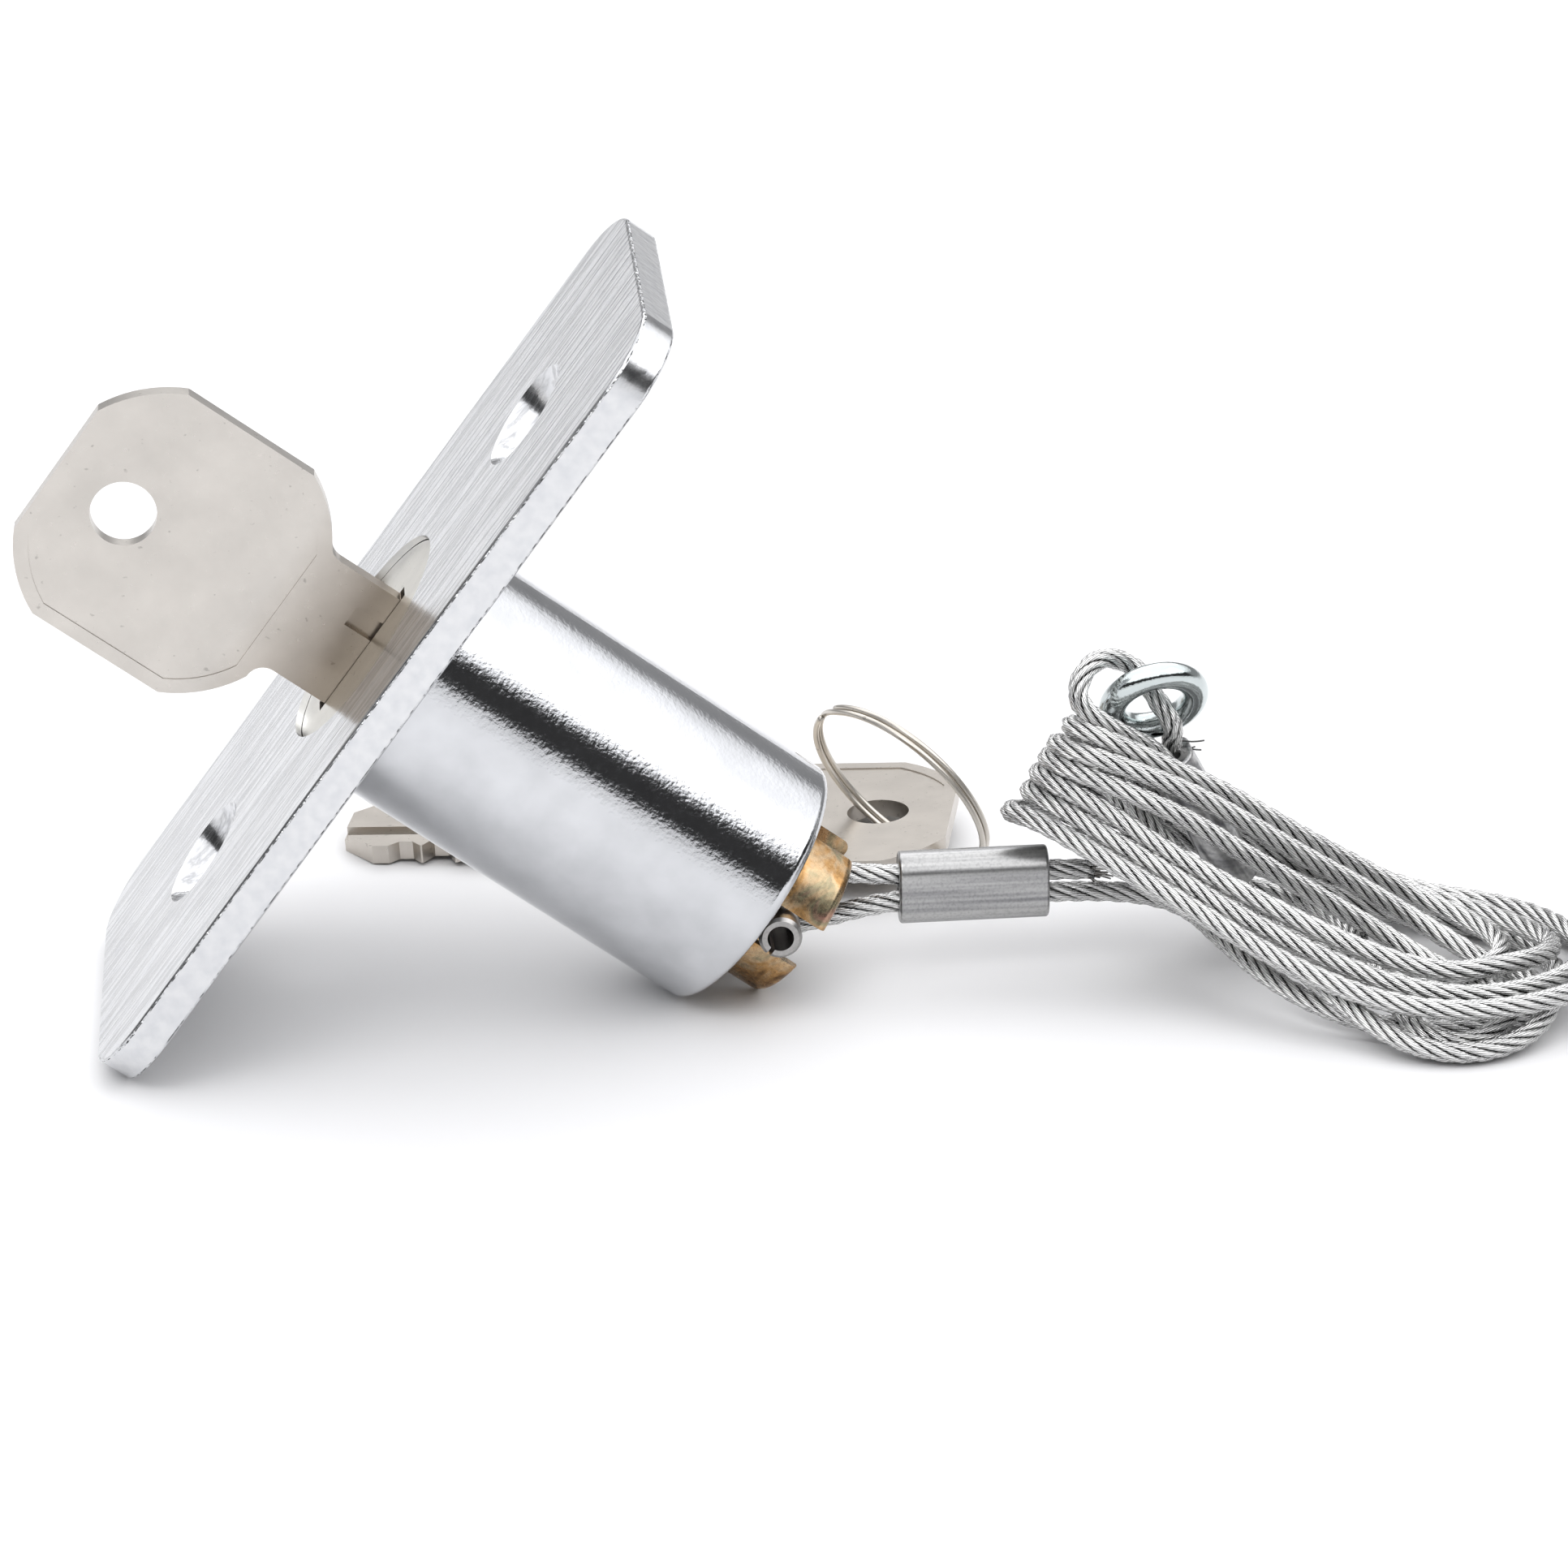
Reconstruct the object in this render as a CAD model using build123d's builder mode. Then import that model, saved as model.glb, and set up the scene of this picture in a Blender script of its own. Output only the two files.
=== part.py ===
from build123d import *
import math
import os

# Keyed emergency release: a faceplate and barrel that screw into a wall or door, a key
# plug that pulls out of the barrel, and the steel cable that the plug pulls.
# Row frame: +Z up from the table, +X towards the cable, -Y towards the plate's near edge.
# The lock lies on the plate's bottom edge and on the barrel's rear rim. Its parts are
# drawn on the plane `lock`: z runs back along the barrel from the plate's back face, x
# runs up the plate and y runs to the near edge. Millimetres and degrees throughout.

os.makedirs("parts", exist_ok=True)

# Faceplate
plate_length = 101.6
plate_width = 47.2
plate_thickness = 4.0
plate_corner = 7.5
plate_edge = 0.4
screw_spacing = 61.1
screw_hole_d = 6.5
countersink_d = 12.7
plug_hole_d = 25.6

# Barrel
barrel_d = 29.8
barrel_bore_d = 24.2
barrel_length = 48.0
barrel_rim = 1.2
tumbler_pocket_width = 8.8
tumbler_pocket_reach = 13.2
tumbler_pocket_start = 3.5
tumbler_pocket_end = 25.5
bolt_pocket_reach = 14.2
pull_travel = 10.0
bolt_pocket_width = 5.4
bolt_pocket_length = 3.4

# Sleeve, the part of the plug that pulls out but does not turn
sleeve_d = 24.06
sleeve_bore_d = 21.4
sleeve_start = 0.1
sleeve_wall_start = 38.8
sleeve_end = 42.2

# Key plug and its keyway
plug_face_recess = 0.8
plug_flange_d = 25.4
plug_d = 21.26
plug_end = 38.7
keyway_top = 6.8
keyway_bottom = -9.35
keyway_width = 2.6
keyway_end = 31.0
cam_start = 34.1
cam_end = 37.7

# Tumblers
tumbler_count = 5
tumbler_first = 5.4
tumbler_pitch = 4.0
tumbler_thickness = 1.2
tumbler_width = 8.0
tumbler_r = 10.4
tumbler_gap = 0.05
window_width = 2.9
window_top = 6.4
window_bottom = -8.5
lug_reach = 6.6
lug_top = 0.0
lug_thickness = 1.0
spring_d = 1.1
spring_bore_d = 0.7
spring_place = 5.4
spring_height = 4.2

# Locking bolt and the cam that throws it
bolt_rest = 11.8
bolt_seat = 3.8
bolt_width = 5.0
bolt_length = 3.0
bolt_gap = 0.05
bolt_throw = 2.2
key_turn_range = 90.0
cam_steps = 12

# Key
key_thickness = 2.2
bow_end = -41.75
bow_front = -11.9
bow_top = 12.45
bow_bottom = -17.45
bow_cut = 6.9
bow_bulge = 0.8
bow_hole_from_end = 8.65
bow_hole_height = -2.6
bow_hole_d = 7.2
neck_top = 6.0
neck_bottom = -8.4
neck_end = -3.2
neck_round = 2.0
neck_overlap = 4.0
blade_top = 6.1
blade_bottom = -8.2
blade_end = 29.2
blade_tip_cut = 4.0
panel_margin = 1.6
panel_depth = 0.15
groove_start = -6.6
groove_height = 2.4
groove_place = 1.5
groove_depth = 0.8
bitting = [1.4, 2.6, 0.8, 2.0, 1.2]
bitting_flat = 1.6
bitting_flare = 1.1

# Castellated retainer, its screw and the roll pin
retainer_d = 19.2
retainer_bore_d = 16.4
retainer_floor = 1.5
retainer_end = 55.2
retainer_rim = 1.0
castle_slot = 5.2
castle_start = 47.8
screw_shank_d = 4.0
screw_hole_clear_d = 4.1
screw_shank_length = 4.6
screw_head_d = 9.4
screw_head_height = 1.5
screw_slot_width = 1.2
screw_slot_depth = 0.7
pin_d = 4.76
pin_bore_d = 2.9
pin_length = 22.6
pin_place = 50.9
pin_split = 0.5
pin_chamfer = 0.35

# Cable, 3/32 in wire rope, and its two ferrules
rope_d = 2.38
leg_bore_d = 2.44
leg_spacing = 2.7
ferrule_length = 16.6
ferrule_height = 8.3
ferrule_depth = 5.0
ferrule_round = 0.4
ferrule_1_start = 54.5
ferrule_1_height = 10.2
pin_wrap_gap = 0.05
pin_wrap_corners = 3
leg_bend_reach = 3.6
leg_bend_rise = 0.1
bend_share = 0.45

# Rings
end_ring_wire_d = 3.0
end_ring_r = 4.7
split_ring_r = 12.0
split_ring_wire = 0.9
split_ring_width = 1.7
split_ring_round = 0.2

# Spare key
spare_key_prop = 3.1

# Where the plate's back face is centred in the row frame
lock_x = -13.7
lock_y = -14.36

# The tilt at which the plate's bottom edge and the barrel's rear rim both touch the table
rest_up = plate_length / 2 - plate_edge - barrel_d / 2 + barrel_rim
rest_back = barrel_length - barrel_rim + plate_edge
rest_rim = barrel_rim - plate_edge
tilt = math.acos(rest_rim / math.hypot(rest_up, rest_back)) - math.atan2(rest_back, rest_up)
corner_drop = (plate_length / 2 - plate_edge) * math.cos(tilt)
lock_z = corner_drop - plate_edge * math.sin(tilt) + plate_edge

back = Vector(math.cos(tilt), 0, -math.sin(tilt))
up = Vector(math.sin(tilt), 0, math.cos(tilt))
near = Vector(0, -1, 0)
lock_origin = Vector(lock_x, lock_y, lock_z)
lock = Plane(origin=lock_origin, x_dir=up, z_dir=back)
profile = Plane(origin=lock_origin, x_dir=back, z_dir=near)


def row(x, y, z):
    """The row-frame point x towards the cable, y away and z up from below the plate's middle."""
    return Vector(x + lock_x, y + lock_y, z)


def at(a, u, w=0.0):
    """The row-frame point a back along the barrel, u up the plate and w to the near side."""
    return lock_origin + back * a + up * u + near * w


def across(a, u, w=0.0):
    """The plane at that point whose x runs back along the barrel and y up the plate."""
    return Plane(origin=at(a, u, w), x_dir=back, z_dir=near)


def save(part, name):
    part.label = name
    export_step(part, f"parts/{name}.step")


def bend_radii(points, set_radii):
    """Radius of the arc at each corner of a run of points, or the radius set for it."""
    radii = []
    for index in range(1, len(points) - 1):
        before = points[index] - points[index - 1]
        after = points[index + 1] - points[index]
        turn = math.radians(before.get_angle(after))
        share = bend_share * min(before.length, after.length) / math.tan(turn / 2)
        radii.append(set_radii.get(index, share))
    return radii


# ---------------------------------------------------------------- faceplate and barrel

plate_face = lock.offset(-plate_thickness)

with BuildPart() as faceplate:
    with BuildSketch(plate_face):
        RectangleRounded(plate_length, plate_width, plate_corner)
    extrude(amount=plate_thickness)
    fillet(faceplate.faces().sort_by(Axis(lock_origin, back))[0].edges(), plate_edge)
    fillet(faceplate.faces().sort_by(Axis(lock_origin, back))[-1].edges(), plate_edge)
    with BuildSketch(plate_face):
        Circle(plug_hole_d / 2)
    extrude(amount=plate_thickness, mode=Mode.SUBTRACT)
    for side in (-1, 1):
        with BuildSketch(plate_face):
            with Locations((side * screw_spacing / 2, 0)):
                Circle(screw_hole_d / 2)
        extrude(amount=plate_thickness, mode=Mode.SUBTRACT)
        with BuildSketch(plate_face):
            with Locations((side * screw_spacing / 2, 0)):
                Circle(countersink_d / 2)
        with BuildSketch(plate_face.offset((countersink_d - screw_hole_d) / 2)):
            with Locations((side * screw_spacing / 2, 0)):
                Circle(screw_hole_d / 2)
        loft(mode=Mode.SUBTRACT)
save(faceplate.part, "faceplate")

bolt_middle = (cam_start + cam_end) / 2

with BuildPart() as barrel:
    with BuildSketch(lock):
        Circle(barrel_d / 2)
    extrude(amount=barrel_length)
    fillet(barrel.edges().sort_by(Axis(lock_origin, back))[-1], barrel_rim)
    with BuildSketch(lock):
        Circle(barrel_bore_d / 2)
    extrude(amount=barrel_length, mode=Mode.SUBTRACT)
    with BuildSketch(lock.offset(tumbler_pocket_start)):
        Rectangle(2 * tumbler_pocket_reach, tumbler_pocket_width)
    extrude(amount=tumbler_pocket_end - tumbler_pocket_start, mode=Mode.SUBTRACT)
    for pulled in (0, pull_travel):
        with BuildSketch(lock.offset(bolt_middle - pulled - bolt_pocket_length / 2)):
            with Locations((bolt_pocket_reach / 2, 0)):
                Rectangle(bolt_pocket_reach, bolt_pocket_width)
        extrude(amount=bolt_pocket_length, mode=Mode.SUBTRACT)
save(barrel.part, "barrel")

# ---------------------------------------------------------------- sleeve, plug and bolt

with BuildPart() as sleeve:
    with BuildSketch(lock.offset(sleeve_start)):
        Circle(sleeve_d / 2)
    extrude(amount=sleeve_end - sleeve_start)
    with BuildSketch(lock.offset(sleeve_start)):
        Circle(sleeve_bore_d / 2)
    extrude(amount=sleeve_wall_start - sleeve_start, mode=Mode.SUBTRACT)
    with BuildSketch(lock.offset(tumbler_pocket_start)):
        Rectangle(sleeve_d, tumbler_pocket_width)
    extrude(amount=tumbler_pocket_end - tumbler_pocket_start, mode=Mode.SUBTRACT)
    with BuildSketch(lock.offset(bolt_middle - bolt_length / 2 - bolt_gap)):
        with Locations((sleeve_d / 4, 0)):
            Rectangle(sleeve_d / 2, bolt_width + 2 * bolt_gap)
    extrude(amount=bolt_length + 2 * bolt_gap, mode=Mode.SUBTRACT)
    with BuildSketch(lock.offset(sleeve_wall_start)):
        Circle(screw_hole_clear_d / 2)
    extrude(amount=sleeve_end - sleeve_wall_start, mode=Mode.SUBTRACT)
save(sleeve.part, "sleeve")

tumbler_places = [tumbler_first + index * tumbler_pitch for index in range(tumbler_count)]
plug_face = -plate_thickness + plug_face_recess
cam_rate = bolt_throw / math.radians(key_turn_range)
cam_low = bolt_seat - bolt_gap

# The cam's flat follower rises evenly with the turn, so its flank is an involute
cam_flank = []
for step in range(cam_steps + 1):
    turn = -math.radians(key_turn_range) * step / cam_steps
    rise = cam_low - cam_rate * turn
    cam_u = rise * math.cos(turn) + cam_rate * math.sin(turn)
    cam_w = rise * math.sin(turn) - cam_rate * math.cos(turn)
    cam_flank.append((cam_u, cam_w))

with BuildPart() as lock_plug:
    with BuildSketch(lock.offset(plug_face)):
        Circle(plug_flange_d / 2)
    extrude(amount=-plug_face)
    with BuildSketch(lock):
        Circle(plug_d / 2)
    extrude(amount=plug_end)
    with BuildSketch(lock.offset(cam_start)):
        Circle(sleeve_bore_d / 2)
        Circle(cam_low, mode=Mode.SUBTRACT)
        with BuildLine():
            Polyline(*cam_flank, (0, 0), close=True)
        make_face(mode=Mode.SUBTRACT)
    extrude(amount=cam_end - cam_start, mode=Mode.SUBTRACT)
    with BuildSketch(lock.offset(plug_face)):
        with Locations(((keyway_top + keyway_bottom) / 2, 0)):
            Rectangle(keyway_top - keyway_bottom, keyway_width)
    extrude(amount=keyway_end - plug_face, mode=Mode.SUBTRACT)
    for place in tumbler_places:
        with BuildSketch(lock.offset(place - tumbler_thickness / 2 - tumbler_gap)):
            Rectangle(plug_d, tumbler_width + 2 * tumbler_gap)
            with Locations(((lug_top + spring_height) / 2 - lug_thickness, lug_reach / 2)):
                Rectangle(spring_height + 2 * lug_thickness, lug_reach + 2 * tumbler_gap)
        extrude(amount=tumbler_thickness + 2 * tumbler_gap, mode=Mode.SUBTRACT)
save(lock_plug.part, "lock_plug")

for number, place in enumerate(tumbler_places, start=1):
    with BuildPart() as tumbler:
        with BuildSketch(lock.offset(place - tumbler_thickness / 2)):
            Circle(tumbler_r)
            Rectangle(2 * tumbler_r, tumbler_width, mode=Mode.INTERSECT)
            with Locations((lug_top - lug_thickness / 2, lug_reach / 2)):
                Rectangle(lug_thickness, lug_reach)
            with Locations(((window_top + window_bottom) / 2, 0)):
                Rectangle(window_top - window_bottom, window_width, mode=Mode.SUBTRACT)
        extrude(amount=tumbler_thickness)
    save(tumbler.part, f"tumbler_{number}")

    with BuildPart() as tumbler_spring:
        with BuildSketch(Plane(origin=at(place, lug_top, spring_place), z_dir=up)):
            Circle(spring_d / 2)
            Circle(spring_bore_d / 2, mode=Mode.SUBTRACT)
        extrude(amount=spring_height)
    save(tumbler_spring.part, f"tumbler_spring_{number}")

with BuildPart() as locking_bolt:
    with BuildSketch(lock.offset(bolt_middle - bolt_length / 2)):
        with Locations(((bolt_rest + bolt_seat) / 2, 0)):
            Rectangle(bolt_rest - bolt_seat, bolt_width)
    extrude(amount=bolt_length)
save(locking_bolt.part, "locking_bolt")

# ---------------------------------------------------------------- key and spare key

bow_outline = [
    (bow_end, bow_bottom + bow_cut),
    (bow_end, bow_top - bow_cut),
    (bow_end + bow_cut, bow_top),
    (bow_front - bow_cut, bow_top),
    (bow_front, bow_top - bow_cut),
    (bow_front, bow_bottom + bow_cut),
    (bow_front - bow_cut, bow_bottom),
    (bow_end + bow_cut, bow_bottom),
]
bow_middle = Vector((bow_end + bow_front) / 2, (bow_bottom + bow_top) / 2)


def draw_bow():
    """The bow's outline: straight sides and slightly bowed corners by turns."""
    for number, start in enumerate(bow_outline):
        end = bow_outline[(number + 1) % len(bow_outline)]
        if number % 2 == 0:
            Line(start, end)
        else:
            middle = (Vector(*start) + Vector(*end)) / 2
            ThreePointArc(start, middle + (middle - bow_middle).normalized() * bow_bulge, end)


def make_key(side_plane, name):
    """A key whose middle plane is side_plane, with x along the blade and y across it."""
    with BuildPart() as key_blank:
        with BuildSketch(side_plane.offset(-key_thickness / 2)) as blank:
            with BuildLine():
                draw_bow()
            make_face()
            neck_start = bow_front - neck_overlap
            with Locations(((neck_start + neck_end) / 2, (neck_top + neck_bottom) / 2)):
                Rectangle(neck_end - neck_start, neck_top - neck_bottom)
            fillet(
                [
                    corner
                    for corner in blank.vertices()
                    if corner.X < neck_end - 1 and min(abs(corner.Y - neck_top), abs(corner.Y - neck_bottom)) < 0.01
                ],
                neck_round,
            )
            with Locations(((neck_end + blade_end) / 2, (blade_top + blade_bottom) / 2)):
                Rectangle(blade_end - neck_end, blade_top - blade_bottom)
            with BuildLine():
                Polyline(
                    (blade_end - blade_tip_cut, blade_top),
                    (blade_end, blade_top),
                    (blade_end, blade_top - blade_tip_cut),
                    close=True,
                )
            make_face(mode=Mode.SUBTRACT)
            with BuildLine():
                Polyline(
                    (blade_end - blade_tip_cut, blade_bottom),
                    (blade_end, blade_bottom),
                    (blade_end, blade_bottom + blade_tip_cut),
                    close=True,
                )
            make_face(mode=Mode.SUBTRACT)
            for place, cut in zip(tumbler_places, bitting):
                with BuildLine():
                    Polyline(
                        (place - bitting_flat / 2 - bitting_flare, blade_top),
                        (place - bitting_flat / 2, blade_top - cut),
                        (place + bitting_flat / 2, blade_top - cut),
                        (place + bitting_flat / 2 + bitting_flare, blade_top),
                        close=True,
                    )
                make_face(mode=Mode.SUBTRACT)
            with Locations((bow_end + bow_hole_from_end, bow_hole_height)):
                Circle(bow_hole_d / 2, mode=Mode.SUBTRACT)
        extrude(amount=key_thickness)
        with BuildSketch(side_plane.offset(key_thickness / 2 - groove_depth)):
            with Locations(((groove_start + blade_end) / 2, groove_place)):
                Rectangle(blade_end - groove_start, groove_height)
        extrude(amount=groove_depth, mode=Mode.SUBTRACT)
        with BuildSketch(side_plane.offset(key_thickness / 2 - panel_depth)):
            with BuildLine():
                draw_bow()
            make_face()
            offset(amount=-panel_margin, mode=Mode.REPLACE)
            with Locations((bow_end + bow_hole_from_end, bow_hole_height)):
                Circle(bow_hole_d / 2, mode=Mode.SUBTRACT)
        extrude(amount=panel_depth, mode=Mode.SUBTRACT)
    save(key_blank.part, name)
    return key_blank.part


make_key(across(0, 0), "key")

# The spare key lies behind the lock, its bow propped on the split ring
spare_hole = row(55.4, 35.0, spare_key_prop)
spare_heading = Vector(-0.9815, 0.1916, 0)
spare_slope = math.asin(spare_key_prop / (blade_end - bow_end))
spare_along = spare_heading * math.cos(spare_slope) - Vector(0, 0, 1) * math.sin(spare_slope)
spare_over = spare_heading * math.sin(spare_slope) + Vector(0, 0, 1) * math.cos(spare_slope)
spare_side = spare_over.cross(spare_along)
spare_rise = key_thickness / 2 * math.cos(spare_slope) - bow_hole_from_end * math.sin(spare_slope)
spare_origin = spare_hole + Vector(0, 0, spare_rise)
spare_origin = spare_origin - spare_along * (bow_end + bow_hole_from_end)
spare_origin = spare_origin - spare_side * bow_hole_height
make_key(Plane(origin=spare_origin, x_dir=spare_along, z_dir=spare_over), "spare_key")

# ---------------------------------------------------------------- retainer, screw and pin

retainer_inside = sleeve_end + retainer_floor

with BuildPart() as castellated_retainer:
    with BuildSketch(lock.offset(sleeve_end)):
        Circle(retainer_d / 2)
    extrude(amount=retainer_end - sleeve_end)
    fillet(castellated_retainer.edges().sort_by(Axis(lock_origin, back))[-1], retainer_rim)
    with BuildSketch(lock.offset(retainer_inside)):
        Circle(retainer_bore_d / 2)
    extrude(amount=retainer_end - retainer_inside, mode=Mode.SUBTRACT)
    with BuildSketch(lock.offset(sleeve_end)):
        Circle(screw_hole_clear_d / 2)
    extrude(amount=retainer_floor, mode=Mode.SUBTRACT)
    with BuildSketch(lock.offset(castle_start)):
        Rectangle(retainer_d, castle_slot)
        Rectangle(castle_slot, retainer_d)
    extrude(amount=retainer_end - castle_start, mode=Mode.SUBTRACT)
save(castellated_retainer.part, "castellated_retainer")

with BuildPart() as retainer_screw:
    with BuildSketch(lock.offset(retainer_inside)):
        Circle(screw_head_d / 2)
    extrude(amount=screw_head_height)
    with BuildSketch(lock.offset(retainer_inside)):
        Circle(screw_shank_d / 2)
    extrude(amount=-screw_shank_length)
    with BuildSketch(lock.offset(retainer_inside + screw_head_height - screw_slot_depth)):
        Rectangle(screw_slot_width, screw_head_d)
    extrude(amount=screw_slot_depth, mode=Mode.SUBTRACT)
save(retainer_screw.part, "retainer_screw")

with BuildPart() as roll_pin:
    with BuildSketch(across(pin_place, 0, -pin_length / 2)):
        Circle(pin_d / 2)
    extrude(amount=pin_length)
    chamfer(roll_pin.edges(), pin_chamfer)
    with BuildSketch(across(pin_place, 0, -pin_length / 2)):
        Circle(pin_bore_d / 2)
        with Locations((0, -pin_d / 2)):
            Rectangle(pin_split, pin_d)
    extrude(amount=pin_length, mode=Mode.SUBTRACT)
save(roll_pin.part, "roll_pin")

# ---------------------------------------------------------------- rings

end_ring_middle = row(83.3, 3.2, 29.67)
end_ring_across = Vector(0.9752, 0.0237, 0.2208).normalized()
end_ring_normal = Vector(0.1439, -0.8247, -0.5473).normalized()
end_ring_plane = Plane(origin=end_ring_middle, x_dir=end_ring_across, z_dir=end_ring_normal)

with BuildPart(end_ring_plane) as end_ring:
    Torus(end_ring_r, end_ring_wire_d / 2)
save(end_ring.part, "end_ring")

split_ring_middle = row(57.3, 26.4, 11.4)
split_ring_across = Vector(0.645, -0.764, 0).normalized()
split_ring_normal = Vector(0.667, 0.563, 0.485).normalized()
split_ring_plane = Plane(
    origin=split_ring_middle - split_ring_normal * split_ring_width / 2,
    x_dir=split_ring_across,
    z_dir=split_ring_normal,
)

with BuildPart() as split_ring:
    with BuildSketch(split_ring_plane):
        Circle(split_ring_r + split_ring_wire / 2)
        Circle(split_ring_r - split_ring_wire / 2, mode=Mode.SUBTRACT)
    extrude(amount=split_ring_width)
    fillet(split_ring.edges().filter_by(GeomType.CIRCLE), split_ring_round)
save(split_ring.part, "split_ring")

# ---------------------------------------------------------------- cable: lead and first ferrule

mouth_x = ferrule_1_start - ferrule_round
exit_x = ferrule_1_start + ferrule_length + ferrule_round
upper_z = ferrule_1_height + leg_spacing / 2
lower_z = ferrule_1_height - leg_spacing / 2
upper_mouth = row(mouth_x, 0, upper_z)
lower_mouth = row(mouth_x, 0, lower_z)
pin_middle = at(pin_place, 0)
wrap_r = pin_d / 2 + pin_wrap_gap + rope_d / 2


def tangent_angle(mouth, side):
    """Angle about the pin at which the straight leg from that mouth meets the wrap."""
    reach = mouth - pin_middle
    return math.atan2(reach.Z, reach.X) + side * math.acos(wrap_r / reach.length)


def around(angle, distance):
    """The point at that angle and distance from the pin's middle."""
    return pin_middle + Vector(math.cos(angle), 0, math.sin(angle)) * distance


def leg_bend(mouth, angle):
    """A point on the straight leg near the pin, set slightly outwards."""
    touch = around(angle, wrap_r)
    along = (mouth - touch).normalized()
    return around(angle, wrap_r + leg_bend_rise) + along * leg_bend_reach


upper_angle = tangent_angle(upper_mouth, 1)
lower_angle = tangent_angle(lower_mouth, -1) + 2 * math.pi
half_corner = (lower_angle - upper_angle) / (2 * pin_wrap_corners)

lead_points = [
    row(76.2, 0, 11.25),
    row(exit_x, 0, upper_z),
    upper_mouth,
    leg_bend(upper_mouth, upper_angle),
]
wrap_radii = {}
for corner in range(pin_wrap_corners):
    wrap_radii[len(lead_points)] = wrap_r * 0.98
    corner_angle = upper_angle + half_corner * (2 * corner + 1)
    lead_points.append(around(corner_angle, wrap_r / math.cos(half_corner)))
lead_points += [
    leg_bend(lower_mouth, lower_angle),
    lower_mouth,
    row(exit_x, 0, lower_z),
    row(80.5, 0, 8.4),
    row(86.5, -1.6, 7.1),
    row(92.0, -5.0, 8.2),
]
lead_radii = bend_radii(lead_points, wrap_radii)

with BuildLine() as lead_route:
    FilletPolyline(*lead_points, radius=lead_radii)
lead_path = lead_route.wire()

with BuildPart() as cable_lead:
    with BuildSketch(Plane(origin=lead_path @ 0, z_dir=lead_path % 0)):
        Circle(rope_d / 2)
    sweep(path=lead_path)
save(cable_lead.part, "cable_lead")

ferrule_1_plane = Plane(
    origin=row(ferrule_1_start, 0, ferrule_1_height),
    x_dir=(0, 0, 1),
    z_dir=(1, 0, 0),
)


def make_ferrule(mouth_plane, name):
    """A pressed oval ferrule whose two bores lie side by side along the plane's x."""
    with BuildPart() as ferrule:
        with BuildSketch(mouth_plane):
            SlotOverall(ferrule_height, ferrule_depth)
        extrude(amount=ferrule_length)
        fillet(ferrule.faces().sort_by(Axis(mouth_plane.origin, mouth_plane.z_dir))[0].edges(),
               ferrule_round)
        fillet(ferrule.faces().sort_by(Axis(mouth_plane.origin, mouth_plane.z_dir))[-1].edges(),
               ferrule_round)
        with BuildSketch(mouth_plane):
            with Locations((-leg_spacing / 2, 0), (leg_spacing / 2, 0)):
                Circle(leg_bore_d / 2)
        extrude(amount=ferrule_length, mode=Mode.SUBTRACT)
    save(ferrule.part, name)


make_ferrule(ferrule_1_plane, "ferrule_1")

# ---------------------------------------------------------------- cable: coil

# Stations along +X: x, y and z of the middle, then the width across and the height
coil_stations = [
    (67.3, 0.5, 22.5, 5.0, 6.0),
    (72.0, 0.5, 23.0, 9.0, 12.0),
    (80.0, -2.0, 19.0, 17.0, 13.0),
    (90.0, -4.0, 13.0, 26.0, 14.0),
    (100.0, -7.5, 7.8, 33.0, 14.4),
    (110.0, -10.5, 5.1, 39.0, 9.4),
    (120.0, -11.5, 3.5, 39.0, 6.2),
    (128.0, -10.5, 2.5, 29.0, 4.2),
    (131.5, -9.0, 1.9, 12.0, 2.8),
]

with BuildPart() as cable_coil:
    for x, y, z, width, height in coil_stations:
        with BuildSketch(Plane(origin=row(x, y, z), x_dir=(0, 1, 0), z_dir=(1, 0, 0))):
            Ellipse(width / 2, height / 2)
    loft()
save(cable_coil.part, "cable_coil")

# ---------------------------------------------------------------- cable: end eye and ferrule

ferrule_2_mouth = row(84.95, 2.45, 23.57)
ferrule_2_along = Vector(0.455, 0, -0.89).normalized()
ferrule_2_plane = Plane(origin=ferrule_2_mouth, x_dir=(0, 1, 0), z_dir=ferrule_2_along)
near_bore = ferrule_2_mouth - Vector(0, leg_spacing / 2, 0)
far_bore = ferrule_2_mouth + Vector(0, leg_spacing / 2, 0)

eye_points = [
    near_bore + ferrule_2_along * (ferrule_length + 2.0),
    near_bore - ferrule_2_along * ferrule_round,
    row(78.8, -1.6, 27.97),
    row(73.2, -0.7, 32.97),
    row(76.2, 2.5, 37.47),
    row(81.2, 5.7, 34.57),
    row(83.8, 3.1, 29.57),
    row(85.7, 1.9, 26.77),
    far_bore - ferrule_2_along * ferrule_round,
    far_bore + ferrule_2_along * (ferrule_length + 1.0),
]
eye_radii = bend_radii(eye_points, {})

with BuildLine() as eye_route:
    FilletPolyline(*eye_points, radius=eye_radii)
eye_path = eye_route.wire()

with BuildPart() as cable_end_eye:
    with BuildSketch(Plane(origin=eye_path @ 0, z_dir=eye_path % 0)):
        Circle(rope_d / 2)
    sweep(path=eye_path)
save(cable_end_eye.part, "cable_end_eye")

make_ferrule(ferrule_2_plane, "ferrule_2")

for name, path, tube, radii in (
    ("cable_lead", lead_path, cable_lead.part, lead_radii),
    ("cable_end_eye", eye_path, cable_end_eye.part, eye_radii),
):
    section = math.pi * rope_d * rope_d / 4
    print(name, "bend radii", [round(radius, 1) for radius in radii])
    print(name, "length", round(path.length, 1), "volume over section x length",
          round(tube.volume / (section * path.length), 3))
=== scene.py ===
import math
import random

import bmesh
import bpy
import numpy as np
from mathutils import Matrix, Vector


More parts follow.
